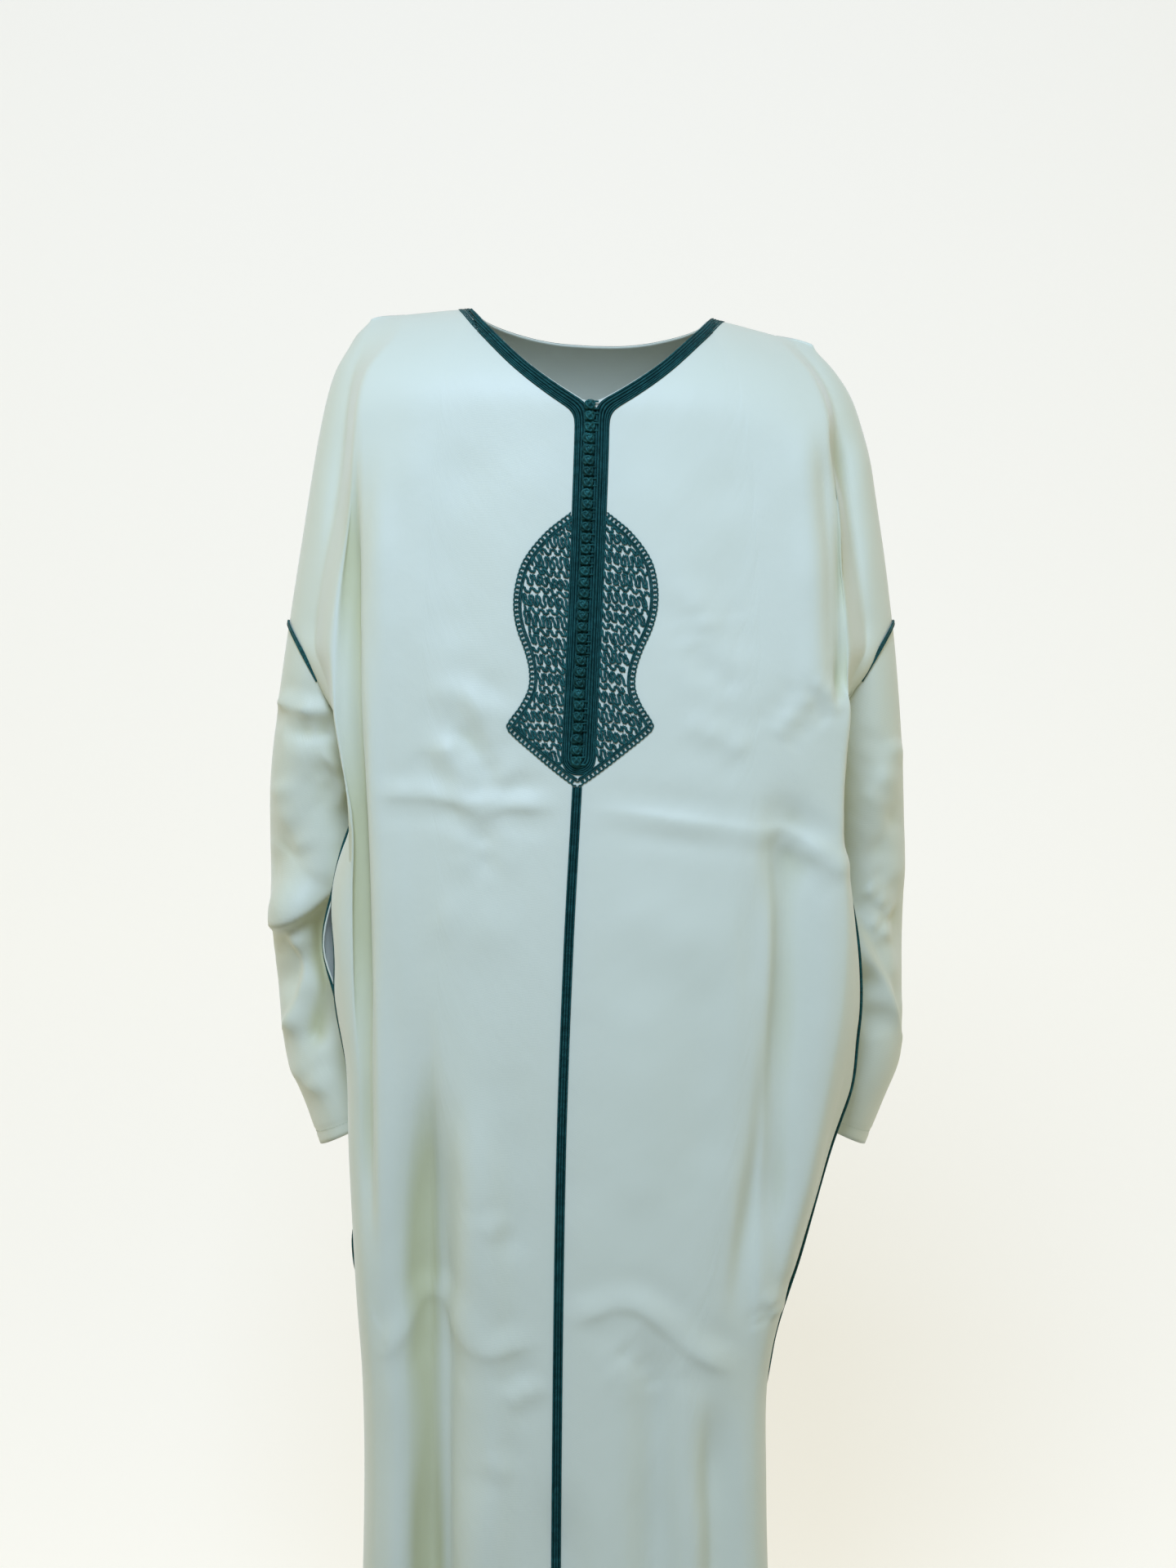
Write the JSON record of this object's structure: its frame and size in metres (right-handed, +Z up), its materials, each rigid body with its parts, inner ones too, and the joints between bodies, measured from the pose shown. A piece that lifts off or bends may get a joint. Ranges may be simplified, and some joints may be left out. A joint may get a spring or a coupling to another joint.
{
  "type": "djellaba robe",
  "caption": "Long ivory robe with wide dropped shoulders, V neck, knotted placket, corded chest medallion and dark braid down the centre front.",
  "frame": {"origin": "on the shoulder line at the middle of the neck, where the wearer's shoulders carry the robe", "axes": "+Z up along the wearer, +X towards the wearer's left, -Y towards the front of the robe"},
  "size_m": [0.6289, 0.278, 1.4626],
  "materials": {
    "cloth": "satin twill weave",
    "braid": "matt corded braid"
  },
  "bodies": {
    "root": {"front": "cloth", "back": "cloth", "sleeve_left": "cloth", "sleeve_right": "cloth", "placket_braid_left": "braid", "placket_braid_right": "braid", "medallion_left": "braid", "medallion_right": "braid", "centre_braid": "braid", "neck_braid": "braid", "armhole_piping_left": "braid", "armhole_piping_right": "braid", "side_piping_left_front": "braid", "side_piping_left_back": "braid", "side_piping_right_front": "braid", "side_piping_right_back": "braid", "knot_01": "braid", "knot_02": "braid", "knot_03": "braid", "knot_04": "braid", "knot_05": "braid", "knot_06": "braid", "knot_07": "braid", "knot_08": "braid", "knot_09": "braid", "knot_10": "braid", "knot_11": "braid", "knot_12": "braid", "knot_13": "braid", "knot_14": "braid", "knot_15": "braid", "knot_16": "braid", "knot_17": "braid", "knot_18": "braid", "knot_19": "braid", "knot_20": "braid", "knot_21": "braid", "knot_22": "braid", "knot_23": "braid", "knot_24": "braid", "knot_25": "braid", "knot_26": "braid", "knot_27": "braid", "knot_28": "braid", "knot_29": "braid", "knot_30": "braid", "knot_31": "braid", "knot_32": "braid", "knot_33": "braid"}
  },
  "joints": []
}
